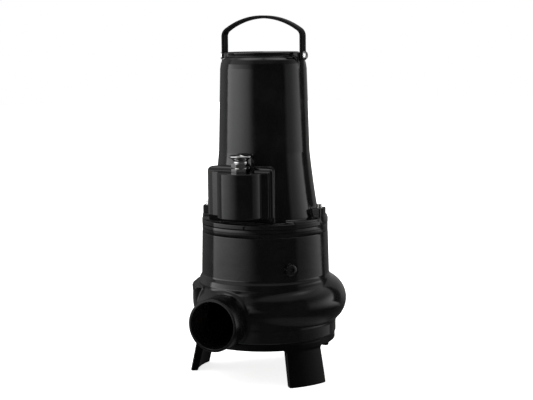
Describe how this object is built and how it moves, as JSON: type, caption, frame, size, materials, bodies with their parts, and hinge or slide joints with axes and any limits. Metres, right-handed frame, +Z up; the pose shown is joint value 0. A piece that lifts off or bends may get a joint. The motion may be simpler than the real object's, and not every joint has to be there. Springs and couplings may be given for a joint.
{
  "type": "submersible sewage pump",
  "caption": "Submersible sewage pump: round motor shell with a bent bar handle, terminal box with cable gland, flanged oil housing, volute casing with side outlet, on splayed feet",
  "frame": {"origin": "middle of the footprint of the whole pump, at floor level", "axes": "+Z up along the motor shaft, -Y the way the outlet and the terminal cover face, +X to the right of someone who stands behind the pump and looks along -Y"},
  "size_m": [0.2752, 0.3093, 0.6153],
  "materials": {
    "black_paint": "gloss black enamel over cast iron",
    "bright_steel": "bright stainless steel",
    "plug_steel": "dark steel, partly painted over",
    "seal_rubber": "matt black rubber",
    "ring_bronze": "turned bronze",
    "cast_iron": "bare cast iron"
  },
  "bodies": {
    "root": {"motor_housing": "black_paint", "top_cover": "black_paint", "lifting_handle": "black_paint", "terminal_cover": "black_paint", "gland_base": "bright_steel", "gland_nut": "bright_steel", "gland_seal": "seal_rubber", "intermediate_ring": "black_paint", "pump_casing": "black_paint", "suction_cover": "black_paint", "wear_ring": "ring_bronze", "impeller": "cast_iron", "shaft": "bright_steel", "impeller_bolt": "bright_steel", "handle_bolt_left": "bright_steel", "handle_bolt_right": "bright_steel", "flange_screw_right": "bright_steel", "flange_screw_left": "bright_steel", "flange_screw_rear": "bright_steel", "oil_plug_front": "plug_steel", "oil_plug_rear": "plug_steel", "base_bolt_1": "black_paint", "base_bolt_2": "black_paint", "base_bolt_3": "black_paint"}
  },
  "joints": []
}
